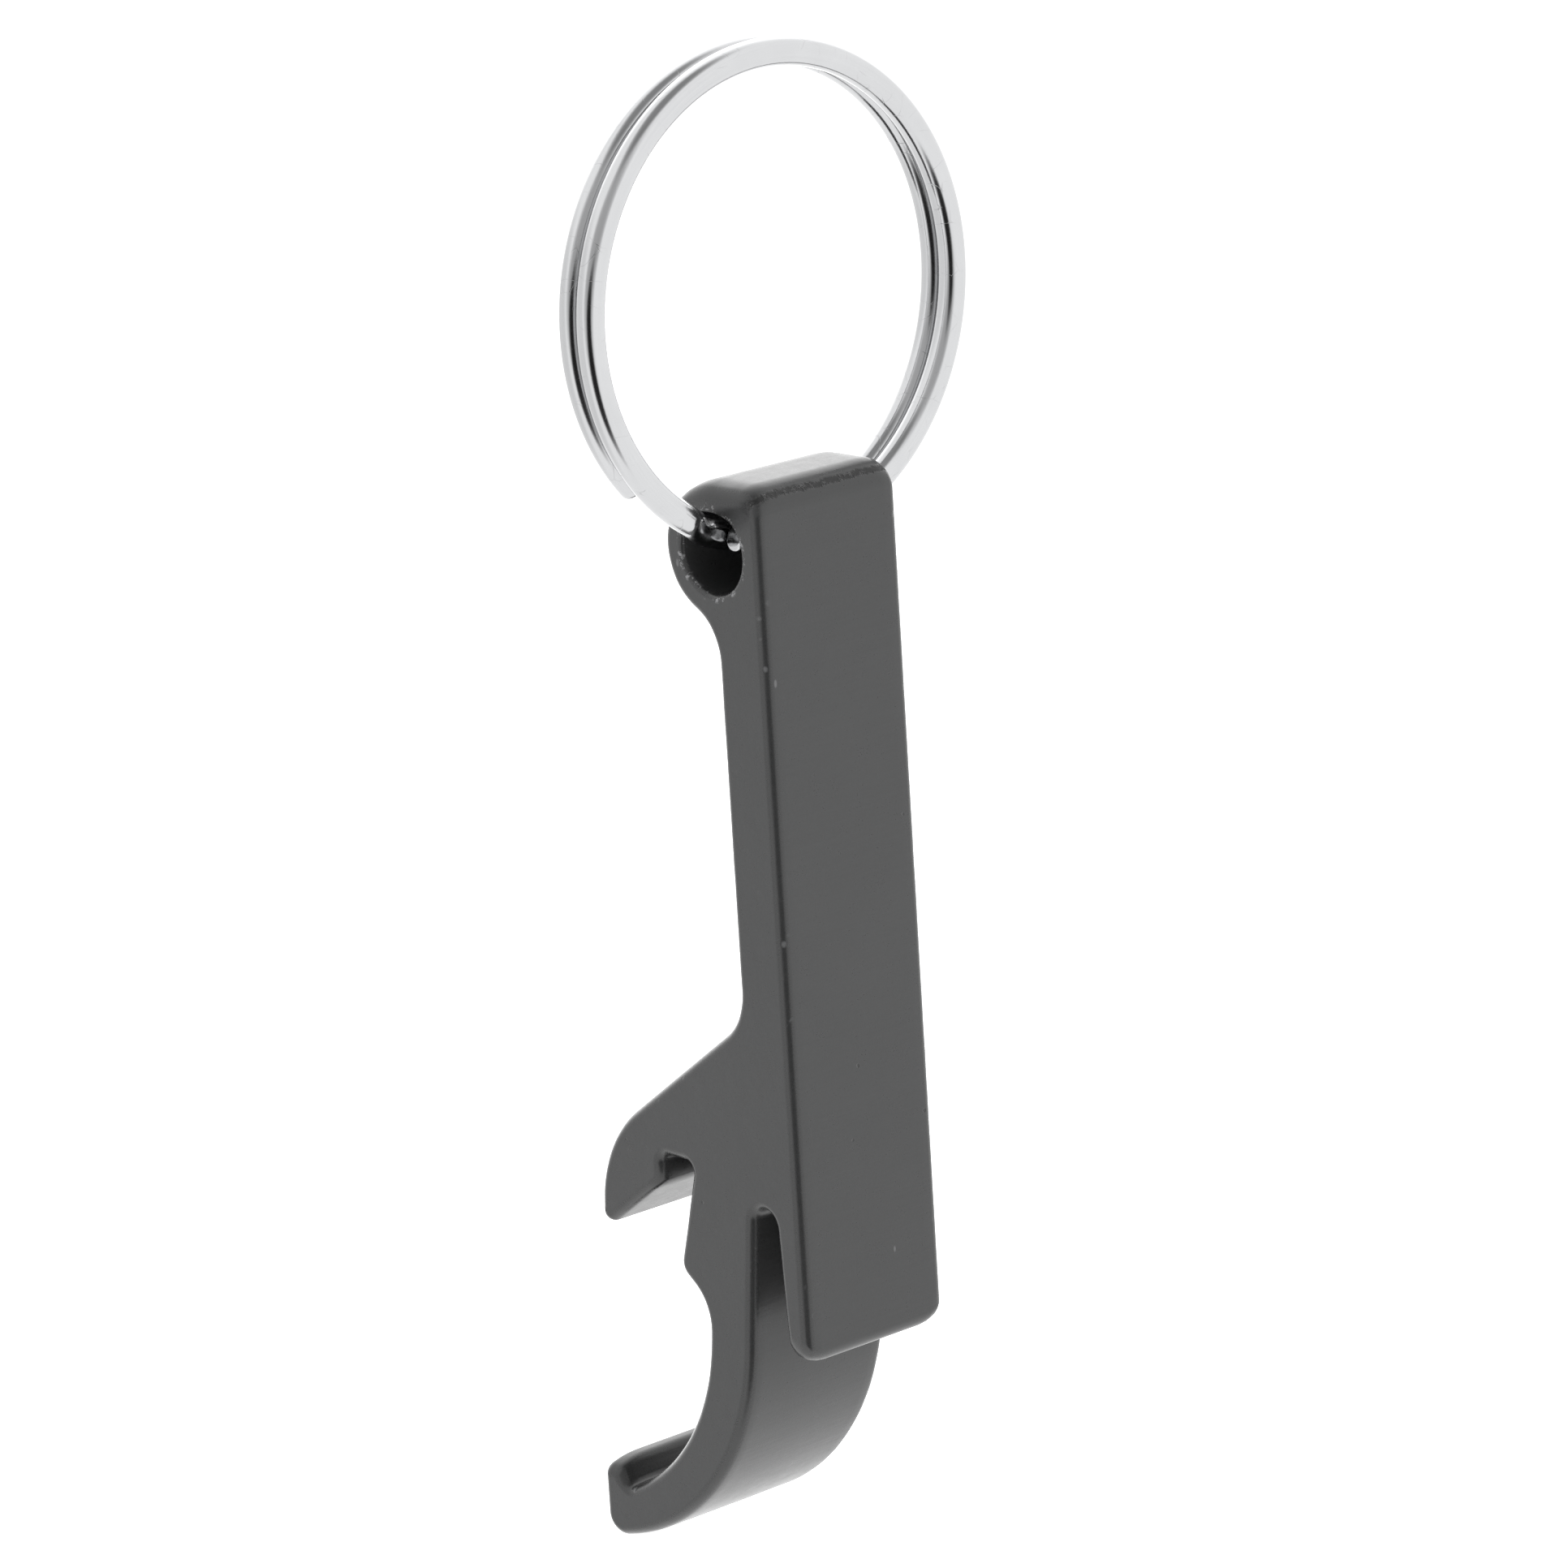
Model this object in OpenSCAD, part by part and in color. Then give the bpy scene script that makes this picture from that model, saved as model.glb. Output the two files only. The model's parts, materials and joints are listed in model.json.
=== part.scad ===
// Keychain bottle and can opener on a two-turn split ring.
// X runs from the cap side (-X) to the flat front face (+X), Y along the
// width of the extruded body, Z up.  The origin is the centre of the ring,
// which holds the opener hanging straight down from its bore.

/* [Body] */
// Width of the extruded body
body_width = 9.3; // [6:0.1:14]
// From the bore axis down to the shoulder of the tooth
stem_len = 23.6; // [16:0.1:40]
// Thickness of the plain stem
stem_t = 3.55; // [2.4:0.05:6]
// Broken edge down both sides of the front face
edge_break = 0.3; // [0.05:0.05:0.8]

/* [Lug] */
// Bore for the split ring
bore_d = 4.2; // [3.2:0.1:7]
// Wall round the bore
lug_wall = 1.35; // [0.8:0.05:3]
// Rounded top corner of the front face
corner_r = 1.4; // [0.5:0.1:2.5]
// Hollow behind the lug, where it narrows to the stem
neck_r = 2.75; // [1:0.05:5]
// Countersink at both mouths of the bore
bore_break = 0.25; // [0.05:0.05:0.6]

/* [Tooth] */
// How steeply shoulder and underside fall (degrees)
tooth_fall = 35.7; // [25:0.1:45]
// From the front face to the tip
tooth_reach = 15.1; // [12:0.1:20]
// Thickness between shoulder and underside
tooth_t = 3.8; // [2.5:0.1:6]
// Curve of the nose above the tip
nose_r = 7; // [5:0.1:9]
// Rounding of the tip
tip_r = 0.45; // [0.2:0.05:1]
// Hollow where the shoulder meets the stem
shoulder_r = 3.2; // [1:0.1:6]
// Width of the undercut at the root of the tooth
pocket_w = 2.4; // [1:0.1:3]
// Height of the undercut above the end of the underside
pocket_h = 1.4; // [0.8:0.1:2]

/* [Can tab slot] */
// Slot width at its round top
slot_w = 1.6; // [1:0.05:2.6]
// Height of the metal above the slot, from the shoulder
slot_drop = 10.4; // [8:0.1:16]
// Free bar in front of the slot, at its top
bar_t = 1.95; // [1.2:0.05:3.5]
// Length of the free bar below the top of the slot
bar_len = 6.8; // [4:0.1:12]
// Taper of the free bar (degrees)
bar_taper = 2.6; // [0:0.1:6]
// Lean of the slot's rear wall (degrees)
slot_lean = 5.8; // [1:0.1:12]

/* [Web and arm] */
// From the front face to the web beside the undercut
web_depth = 7.85; // [7:0.1:12]
// Lean of the web's rear face (degrees)
web_lean = 15.3; // [4:0.1:22]
// Length of that rear face down to the nub
web_drop = 5.95; // [3:0.1:9]
// Straight run of the slot's rear wall before the arm bends
arm_start = 6.9; // [3:0.1:12]
// Outer bend of the arm
arm_r_out = 14; // [10:0.1:20]
// Inner bend of the arm
arm_r_in = 11.5; // [8:0.1:15]
// Thickness of the arm at its root
arm_t_root = 3.3; // [2:0.05:5]
// Thickness of the arm at its lowest point
arm_t_end = 2.15; // [1.4:0.05:4]
// Fall of the nub's lower side (degrees)
nub_fall = 37; // [20:1:50]
// Rounding of the nub, and of the hollow below it
nub_r = 1; // [0.3:0.1:1.2]

/* [Hook end] */
// From the front face to the blunt end of the arm
hook_reach = 16.35; // [14:0.05:20]
// Rise of the lip above the inner bend
lip_h = 1.3; // [0.6:0.05:2.5]
// Thickness of the lip along its foot
lip_t = 1.8; // [1.2:0.05:3]
// Slope of the lip's inner side (degrees from upright)
lip_slope = 26; // [5:1:40]
// Rounding of the lip
lip_r = 0.42; // [0.2:0.02:0.8]
// Rounding of the lower corner of the end
heel_r = 1.1; // [0.5:0.1:1.8]

/* [Split ring] */
// Outside diameter of the ring
ring_d = 25; // [20:0.5:36]
// Wire size from inside to outside of the ring
wire_radial = 1.45; // [1:0.05:2]
// Wire size along the ring's axis, one turn
wire_axial = 1.2; // [0.8:0.05:1.8]
// Rounding of the wire's corners
wire_r = 0.5; // [0.2:0.05:0.6]
// Where the wire changes over, measured round from the bottom (degrees)
change_at = -27; // [-60:1:-20]
// Length of the change-over (degrees)
change_span = 14; // [12:1:40]
// Space left between the front turn's end and the change-over (degrees)
end_gap = 2; // [0:0.5:6]
// Space left between the rear turn's end and the change-over (degrees)
rear_gap = 13; // [0:0.5:20]
// Space between the two turns
turn_gap = 0.06; // [0.02:0.02:0.3]
// Clearance between the hanging bore and the wire
ring_slack = 0.08; // [0.02:0.01:0.3]

/* [Hidden] */
$fn = 96;
eps = 0.02;

// the ring: mean radius of the wire, inside radius, and one corner of its section
wire_mean = (ring_d - wire_radial) / 2;
ring_in = ring_d / 2 - wire_radial;
wr = min(wire_r, wire_axial * 0.45, wire_radial * 0.45);

// the bore hangs on the inside of the ring, where the ring leaves the body's width
bore_r = bore_d / 2;
mouth_y = min(body_width / 2, ring_in * 0.8);
ring_at_mouth = sqrt(ring_in * ring_in - mouth_y * mouth_y);
reach_up = bore_r - ring_slack - wr;
reach_side = wire_axial + turn_gap / 2 - wr;
bore_drop = ring_at_mouth + wr + sqrt(max(reach_up * reach_up - reach_side * reach_side, 0.01));

// profile of the body: x as above, second number is height from the bore axis
lug_r = bore_r + lug_wall;
front_x = lug_r;
back_x = front_x - stem_t;
corner = min(corner_r, lug_r - 0.2);

// neck behind the lug: circle outside the lug, touching it and the stem
neck_x = back_x - neck_r;
neck_z = -sqrt(max(pow(lug_r + neck_r, 2) - neck_x * neck_x, 0));
neck_touch = lug_r / (lug_r + neck_r);

// tooth: along the shoulder and square to it, from where it meets the stem
along = [-cos(tooth_fall), -sin(tooth_fall)];
out = [-sin(tooth_fall), cos(tooth_fall)];
shoulder = [back_x, -stem_len];
nose_x = front_x - tooth_reach + nose_r;
nose_z = shoulder[1] + ((nose_x - shoulder[0]) * -out[0] - nose_r) / out[1];
nose = [nose_x, nose_z];
under_h = nose_r - tooth_t;
tip_sharp = nose + under_h * out + sqrt(nose_r * nose_r - under_h * under_h) * along;
tip_in = nose_r - tip_r;
tip = nose + (under_h + tip_r) * out + sqrt(tip_in * tip_in - pow(under_h + tip_r, 2)) * along;
tip_dir = (tip - nose) / tip_in;

// hollow at the shoulder: circle touching the stem and the shoulder line
hollow_x = back_x - shoulder_r;
hollow_z = shoulder[1] + (shoulder_r + (hollow_x - shoulder[0]) * -out[0]) / out[1];
hollow = [hollow_x, hollow_z];

// undercut beside the web
pocket_x1 = front_x - web_depth;
pocket_x0 = pocket_x1 - pocket_w;
pocket_foot = shoulder[1] - (tooth_t - (pocket_x0 - shoulder[0]) * -out[0]) / out[1];
pocket_top = pocket_foot + pocket_h;
pocket_r = min(0.5, pocket_w * 0.3, pocket_h * 0.45);
pocket_c = [pocket_x1 - pocket_r * (tan(web_lean) + 1 / cos(web_lean)), pocket_top - pocket_r];

// can tab slot: centre of its round top, and its two walls touching that round
slot_r = slot_w / 2;
slot_c = [front_x - bar_t - slot_r, -stem_len - slot_drop];
rear_top = slot_c + slot_r * [-cos(slot_lean), sin(slot_lean)];
bar_top = slot_c + slot_r * [cos(bar_taper), sin(bar_taper)];
bar_end_z = slot_c[1] - bar_len;
bar_end_x = bar_top[0] + (bar_top[1] - bar_end_z) * tan(bar_taper);
bar_end_t = front_x - bar_end_x;
bar_r = min(0.8, bar_end_t * 0.47);

// arm: the outer bend touches the slot's rear wall
arm_join = rear_top - arm_start * [sin(slot_lean), cos(slot_lean)];
arm_c = arm_join + arm_r_out * [-cos(slot_lean), sin(slot_lean)];
bend = arm_r_out - arm_r_in;
arm_ci = arm_c + [bend - arm_t_root, arm_t_end - bend];

// web: rear face leaning back, then the nub's lower side meets the inner bend
web_top = [pocket_x1, pocket_top];
nub = web_top - web_drop * [sin(web_lean), cos(web_lean)];
nub_dir = [cos(nub_fall), -sin(nub_fall)];
nub_rel = nub - arm_ci;
nub_b = nub_rel * nub_dir;
nub_q = nub_rel * nub_rel - arm_r_in * arm_r_in;
nub_foot = nub + (-nub_b + sqrt(max(nub_b * nub_b - nub_q, 0))) * nub_dir;

// hollow below the nub: circle inside the inner bend, touching it and the nub's side
nub_out = [-sin(nub_fall), -cos(nub_fall)];
dip_r = 2.5 * nub_r;
dip_h = nub_rel * nub_out + dip_r;
dip_s = sqrt(max(pow(arm_r_in - dip_r, 2) - dip_h * dip_h, 0));
dip = arm_ci + dip_h * nub_out + dip_s * nub_dir;
dip_touch = arm_ci + (dip - arm_ci) * arm_r_in / (arm_r_in - dip_r);

// rounded nub: circle touching the rear face and the lower side
web_in = [cos(web_lean), -sin(web_lean)];
nub_mid = nub + nub_r * (web_in - nub_out) / (1 - web_in * nub_out);

// the bent arm is drawn from just above both of its joins downwards
arm_top = max(arm_join[1], dip_touch[1]) + 0.2;

// hook end
end_x = front_x - hook_reach;
lip_foot_x = end_x + lip_t;
lip_foot_z = arm_ci[1] - sqrt(max(arm_r_in * arm_r_in - pow(lip_foot_x - arm_ci[0], 2), 0));
lip_z = lip_foot_z + lip_h;
lip_up = [-sin(lip_slope), cos(lip_slope)];
lip_face = [cos(lip_slope), sin(lip_slope)];
foot_r = lip_r;
foot_rel = [lip_foot_x, lip_foot_z] + foot_r * lip_face - arm_ci;
foot_b = foot_rel * lip_up;
foot_q = foot_rel * foot_rel - pow(arm_r_in - foot_r, 2);
foot_c = arm_ci + foot_rel + (-foot_b - sqrt(max(foot_b * foot_b - foot_q, 0))) * lip_up;
foot_touch = arm_ci + (foot_c - arm_ci) * arm_r_in / (arm_r_in - foot_r);
heel_dx = end_x + heel_r - arm_c[0];
heel_z = arm_c[1] - sqrt(max(pow(arm_r_out - heel_r, 2) - heel_dx * heel_dx, 0));
heel = [end_x + heel_r, heel_z];
heel_dir = (heel - arm_c) / (arm_r_out - heel_r);

module round_box(w, h, r) {
    // flat box with four rounded corners, centred
    square([w - 2 * r, h], center = true);
    square([w, h - 2 * r], center = true);
    for (i = [-1, 1])
        for (j = [-1, 1])
            translate([i * (w / 2 - r), j * (h / 2 - r)])
                circle(r);
}

module slab() {
    // an outline drawn in X and height, taken through the body's width
    rotate([90, 0, 0])
        linear_extrude(body_width, center = true)
            children();
}

module lug() {
    slab()
        circle(lug_r);
    slab()
        translate([front_x - corner, lug_r - corner])
            circle(corner);
    slab()
        square([front_x, lug_r - corner]);
    slab()
        square([front_x - corner, lug_r]);
    // neck: metal between lug and stem outside the neck circle
    slab()
        difference() {
            polygon([
                [back_x + eps, neck_z],
                [neck_x, neck_z],
                [neck_x * neck_touch, neck_z * neck_touch],
                [0, 0],
                [back_x + eps, 0]
            ]);
            translate([neck_x, neck_z])
                circle(neck_r);
        }
}

module stem() {
    slab()
        translate([back_x, -stem_len - 1])
            square([stem_t, stem_len + 1]);
    // hollow between stem and shoulder
    slab()
        difference() {
            polygon([
                hollow,
                hollow - shoulder_r * out,
                shoulder - 2 * out,
                [back_x + 1, shoulder[1]],
                [back_x + eps, hollow_z]
            ]);
            translate(hollow)
                circle(shoulder_r);
        }
}

module tooth() {
    // straight band from the stem to above the nose centre
    square_in = shoulder - out * tooth_t;
    nose_top = nose + nose_r * out;
    slab()
        polygon([
            shoulder,
            nose_top,
            nose_top - tooth_t * out,
            square_in,
            shoulder + [stem_t / 2, 0]
        ]);
    // nose: the same band kept inside the nose circle, less its sharp tip
    slab()
        difference() {
            intersection() {
                translate(nose)
                    circle(nose_r, $fn = 180);
                polygon([
                    nose_top - eps * along,
                    nose_top + nose_r * along,
                    nose_top - tooth_t * out + nose_r * along,
                    nose_top - tooth_t * out - eps * along
                ]);
            }
            polygon([
                tip,
                nose + (nose_r + 1) * tip_dir,
                tip_sharp + 2 * along,
                tip_sharp + 2 * along - 2 * out,
                tip - (tip_r + 1) * out
            ]);
        }
    slab()
        translate(tip)
            circle(tip_r);
}

module core() {
    // metal between stem, tooth, web and the root of the arm
    slab()
        difference() {
            polygon([
                [front_x, -stem_len + 1],
                [front_x, slot_c[1]],
                bar_top,
                slot_c,
                rear_top,
                arm_join,
                arm_ci + (arm_r_in + 0.6) * (arm_join - arm_ci) / norm(arm_join - arm_ci),
                dip_touch + 0.3 * (dip_touch - arm_ci) / arm_r_in,
                nub_foot,
                nub,
                web_top,
                [pocket_x0 + pocket_r, pocket_top],
                [pocket_x0 + pocket_r, pocket_top + 1],
                [back_x + 0.3, -stem_len - 0.9]
            ]);
            translate(slot_c)
                circle(slot_r);
            // rounded nub
            nub_cut();
        }
    nub_round();
    dip_fill();
    // rounded corner between the undercut and the web
    slab()
        difference() {
            polygon([
                pocket_c,
                pocket_c + [0, pocket_r],
                pocket_c + [0, pocket_r + 0.2],
                web_top + [0.3, 0.2],
                pocket_c + (pocket_r + 0.2) * web_in,
                pocket_c + pocket_r * web_in
            ]);
            translate(pocket_c)
                circle(pocket_r);
        }
}

module nub_cut() {
    polygon([
        nub_mid,
        nub_mid - (nub_r + eps) * web_in,
        nub - 0.6 * web_in + 0.6 * nub_out,
        nub_mid + (nub_r + eps) * nub_out
    ]);
}

module nub_round() {
    slab()
        translate(nub_mid)
            circle(nub_r);
}

module dip_fill() {
    // hollow below the nub
    slab()
        difference() {
            polygon([
                dip,
                dip - dip_r * nub_out,
                nub_foot - 0.3 * nub_out,
                dip_touch + 0.3 * (dip_touch - arm_ci) / arm_r_in,
                dip_touch
            ]);
            translate(dip)
                circle(dip_r);
        }
}

module bar() {
    // free bar with a rounded end
    slab()
        difference() {
            polygon([
                [front_x, slot_c[1] + slot_r],
                [front_x, bar_end_z],
                [bar_end_x, bar_end_z],
                bar_top,
                [bar_top[0] + slot_r * 0.4, slot_c[1] + slot_r]
            ]);
            translate([front_x - bar_r, bar_end_z - 1])
                square([bar_r + 1, bar_r + 1]);
            translate([bar_end_x - 1, bar_end_z - 1])
                square([bar_r + 1, bar_r + 1]);
            translate(slot_c)
                circle(slot_r);
        }
    slab()
        translate([front_x - bar_r, bar_end_z + bar_r])
            circle(bar_r);
    slab()
        translate([bar_end_x + bar_r, bar_end_z + bar_r])
            circle(bar_r);
    slab()
        translate([bar_end_x + bar_r, bar_end_z])
            square([bar_end_t - 2 * bar_r, bar_r]);
}

module arm() {
    // bent arm, cut square at the blunt end, its heel rounded
    slab()
        difference() {
            intersection() {
                translate(arm_c)
                    circle(arm_r_out, $fn = 240);
                translate([end_x, arm_c[1] - arm_r_out - 1])
                    square([hook_reach, arm_top - (arm_c[1] - arm_r_out - 1)]);
            }
            translate(arm_ci)
                circle(arm_r_in, $fn = 240);
            polygon([
                heel,
                [end_x - 1, heel_z],
                [end_x - 1, arm_c[1] - arm_r_out - 1],
                arm_c + (arm_r_out + 1) * heel_dir
            ]);
        }
    slab()
        translate(heel)
            circle(heel_r);
}

module lip() {
    // lip standing up from the end of the arm
    top_x = lip_foot_x - lip_h * tan(lip_slope);
    slab()
        difference() {
            polygon([
                [end_x, lip_foot_z - 0.9],
                [lip_foot_x + 0.2, lip_foot_z - 0.9],
                [lip_foot_x, lip_foot_z],
                [top_x, lip_z],
                [end_x, lip_z]
            ]);
            translate([end_x - 1, lip_z - lip_r])
                square([lip_r + 1, lip_r + 1]);
            polygon([
                lip_mid(top_x),
                lip_mid(top_x) + [0, lip_r + 1],
                [top_x + 1, lip_z + 1],
                lip_mid(top_x) + (lip_r + 1) * [cos(lip_slope), sin(lip_slope)]
            ]);
        }
    slab()
        translate([end_x + lip_r, lip_z - lip_r])
            circle(lip_r);
    slab()
        translate(lip_mid(top_x))
            circle(lip_r);
    // hollow where the lip meets the inner bend
    slab()
        difference() {
            polygon([
                foot_c,
                foot_c - foot_r * lip_face,
                [lip_foot_x - 0.2, lip_foot_z - 0.3],
                foot_touch + 0.3 * (foot_touch - arm_ci) / arm_r_in,
                foot_touch
            ]);
            translate(foot_c)
                circle(foot_r);
        }
}

function lip_mid(tx) = [tx - lip_r * tan(45 - lip_slope / 2), lip_z - lip_r];

module undercut() {
    // undercut at the root of the tooth, open downwards and towards the web
    through = body_width + 1;
    translate([pocket_x0, -through / 2, pocket_foot - 1])
        cube([pocket_w + 0.5, through, 1 + pocket_h - pocket_r]);
    translate([pocket_x0 + pocket_r, -through / 2, pocket_foot])
        cube([pocket_w + 0.5 - pocket_r, through, pocket_h]);
    translate([pocket_x0 + pocket_r, 0, pocket_top - pocket_r])
        rotate([90, 0, 0])
            cylinder(h = through, r = pocket_r, center = true);
}

module opener_body() {
    color([0.30, 0.31, 0.32])
    translate([0, 0, -bore_drop])
    difference() {
        union() {
            difference() {
                tooth();
                undercut();
            }
            lug();
            stem();
            core();
            bar();
            arm();
            lip();
        }
        rotate([90, 0, 0])
            cylinder(h = body_width + 2, d = bore_d, center = true);
        for (s = [-1, 1]) {
            // countersunk mouth
            translate([0, s * body_width / 2, 0])
                rotate([-s * 90, 0, 0])
                    translate([0, 0, -bore_break])
                        cylinder(h = 2 * bore_break, r1 = bore_r, r2 = bore_r + 2 * bore_break);
            // broken edge of the front face
            translate([front_x, s * body_width / 2, bar_end_z - 1])
                rotate([0, 0, 45])
                    translate([-edge_break / sqrt(2), -edge_break / sqrt(2), 0])
                        cube([2 * edge_break / sqrt(2), 2 * edge_break / sqrt(2), lug_r - bar_end_z + 2]);
        }
    }
}

// Split ring, built round the Z axis and then stood up
module turn(a0, a1, h, w) {
    rotate([0, 0, a0])
        rotate_extrude(angle = a1 - a0, $fn = 180)
            translate([wire_mean, h])
                round_box(w, wire_axial, wr);
}

module split_ring() {
    half = change_span / 2;
    step = (wire_axial + turn_gap) / 2;
    lean = asin(step / (wire_mean * sin(half)));
    a_first = change_at + half + end_gap;
    a_last = change_at - half - rear_gap;
    color([0.80, 0.81, 0.83])
    rotate([0, 90, 0]) {
        // front turn starts beyond the change-over, rear turn ends before it
        turn(a_first, change_at - half + 360.5, step, wire_radial);
        turn(change_at + half - 0.5, a_last + 360, -step, wire_radial);
        rotate([0, 0, change_at])
            rotate([-lean, 0, 0])
                turn(-half - 0.5, half + 0.5, 0, wire_radial - 0.1);
    }
}

opener_body();
split_ring();
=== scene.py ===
"""Looks of a keychain bottle opener hanging on its split ring, with a small studio."""

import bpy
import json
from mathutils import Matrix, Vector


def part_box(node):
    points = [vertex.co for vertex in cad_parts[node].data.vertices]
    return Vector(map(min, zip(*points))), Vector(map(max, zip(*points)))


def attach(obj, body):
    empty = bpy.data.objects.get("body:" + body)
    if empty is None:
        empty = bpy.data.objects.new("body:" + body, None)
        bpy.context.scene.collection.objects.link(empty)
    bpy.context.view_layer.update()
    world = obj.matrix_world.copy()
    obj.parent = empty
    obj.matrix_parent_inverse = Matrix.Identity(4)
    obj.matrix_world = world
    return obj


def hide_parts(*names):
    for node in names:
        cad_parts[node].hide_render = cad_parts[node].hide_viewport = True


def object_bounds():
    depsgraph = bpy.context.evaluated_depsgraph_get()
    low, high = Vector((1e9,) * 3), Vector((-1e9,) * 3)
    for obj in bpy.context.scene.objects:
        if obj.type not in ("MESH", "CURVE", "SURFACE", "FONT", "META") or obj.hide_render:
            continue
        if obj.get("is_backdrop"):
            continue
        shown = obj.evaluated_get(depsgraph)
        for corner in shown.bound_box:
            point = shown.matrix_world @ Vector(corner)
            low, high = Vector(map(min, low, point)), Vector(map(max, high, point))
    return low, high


bl_info = {
    "name": "Keychain Bottle Opener",
    "version": (1, 0, 0),
    "blender": (4, 5, 0),
    "location": "View3D > Sidebar > Opener",
    "description": "Tumbled, anodised opener body and polished split ring on a studio stage",
    "category": "Add Mesh",
}

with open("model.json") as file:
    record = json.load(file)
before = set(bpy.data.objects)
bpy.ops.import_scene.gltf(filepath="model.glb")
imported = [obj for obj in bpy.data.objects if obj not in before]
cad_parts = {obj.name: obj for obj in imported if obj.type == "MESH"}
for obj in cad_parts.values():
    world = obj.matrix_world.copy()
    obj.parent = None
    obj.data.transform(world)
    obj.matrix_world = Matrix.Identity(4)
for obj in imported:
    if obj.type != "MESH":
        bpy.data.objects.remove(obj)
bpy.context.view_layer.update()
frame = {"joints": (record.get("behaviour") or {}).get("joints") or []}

import json
import math

import bmesh
import bpy
from bpy.props import FloatProperty, FloatVectorProperty, PointerProperty
from mathutils import Matrix, Vector, noise

MM = 0.001
SAG = 0.0018  # how far a chord of the outline may stay inside its arc, in millimetres
CUT_REACH = 3.3 * MM  # from the bore axis towards the two cuts between the side faces
BORE = Vector(frame["joints"][0]["pos_m"])
BODY_LOW, BODY_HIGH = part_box("opener_body")
RING_LOW, RING_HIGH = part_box("split_ring")

# The body's outline as a belt run to the left round pins, in millimetres from the bore axis:
# across, up, radius of the pin, and +1 where the outline turns left round it or -1 where it turns right.
OUTLINE = {
    "top corner": (2.05, 2.05, 1.4, 1),
    "lug": (0.0, 0.0, 3.45, 1),
    "neck": (-2.85, -5.506, 2.75, -1),
    "shoulder hollow": (-3.3, -21.959, 3.2, -1),
    "nose": (-4.65, -35.489, 7.0, 1),
    "tooth tip": (-11.100, -35.506, 0.55, 1),
    "undercut edge": (-6.8, -33.094, 0.0, 1),
    "undercut corner": (-6.3, -32.194, 0.5, -1),
    "web corner": (-5.055, -32.194, 0.5, -1),
    "nub": (-4.827, -37.043, 1.0, 1),
    "dip": (-6.531, -40.140, 2.5, -1),
    "inner bend": (-15.5215, -39.719, 11.5, -1),
    "lip foot": (-10.899, -49.789, 0.42, -1),
    "lip inside": (-12.074, -49.585, 0.55, 1),
    "lip outside": (-12.35, -49.585, 0.55, 1),
    "heel": (-11.8, -51.934, 1.1, 1),
    "outer bend": (-14.7215, -39.369, 14.0, 1),
    "slot top": (0.7, -34.0, 0.8, -1),
    "bar end inside": (2.5806, -40.029, 0.771, 1),
    "bar end outside": (2.679, -40.029, 0.771, 1),
}


# The free ends whose side corners are worn round, in millimetres from the bore axis: wear grows from one
# height to another, between two places across, and rounds the last stretch of the width. The share scales
# how deep the wear goes.
WORN_ENDS = {
    "lip": {"from": -50.5, "to": -49.0, "back": -14.0, "front": -10.9, "round": 2.2, "share": 1.0},
    "bar": {"from": -38.6, "to": -40.4, "back": 0.5, "front": 5.0, "round": 1.5, "share": 1.25},
    "lug": {"from": 1.6, "to": 3.3, "back": -4.0, "front": 4.0, "round": 1.3, "share": 1.0},
}


class BodySizes(bpy.types.PropertyGroup):
    """Sizes of the extruded body that its profile leaves open"""

    width: FloatProperty(
        name="Width",
        description="Length of the extrusion, across the body",
        default=BODY_HIGH.y - BODY_LOW.y,
        min=0.002,
        unit="LENGTH",
        subtype="DISTANCE",
    )
    bore: FloatProperty(
        name="Bore",
        description="Diameter of the bore for the ring",
        default=4.2 * MM,
        min=0.001,
        unit="LENGTH",
        subtype="DISTANCE",
    )
    tumbling: FloatProperty(
        name="Tumbling",
        description="Rounding that tumbling leaves on the side edges",
        default=0.53 * MM,
        min=0.00005,
        max=0.00054,
        unit="LENGTH",
        subtype="DISTANCE",
    )
    bore_rounding: FloatProperty(
        name="Bore rounding",
        description="Rounding of the bore's mouths",
        default=0.26 * MM,
        min=0.00005,
        unit="LENGTH",
        subtype="DISTANCE",
    )
    corner_wear: FloatProperty(
        name="Corner wear",
        description="How deep the side corners of the free ends are worn, times each end's own share",
        default=0.75 * MM,
        min=0.0,
        unit="LENGTH",
        subtype="DISTANCE",
    )
    waviness: FloatProperty(
        name="Waviness",
        description="How far the tumbled edges wander inwards",
        default=0.022 * MM,
        min=0.0,
        unit="LENGTH",
        subtype="DISTANCE",
    )


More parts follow.
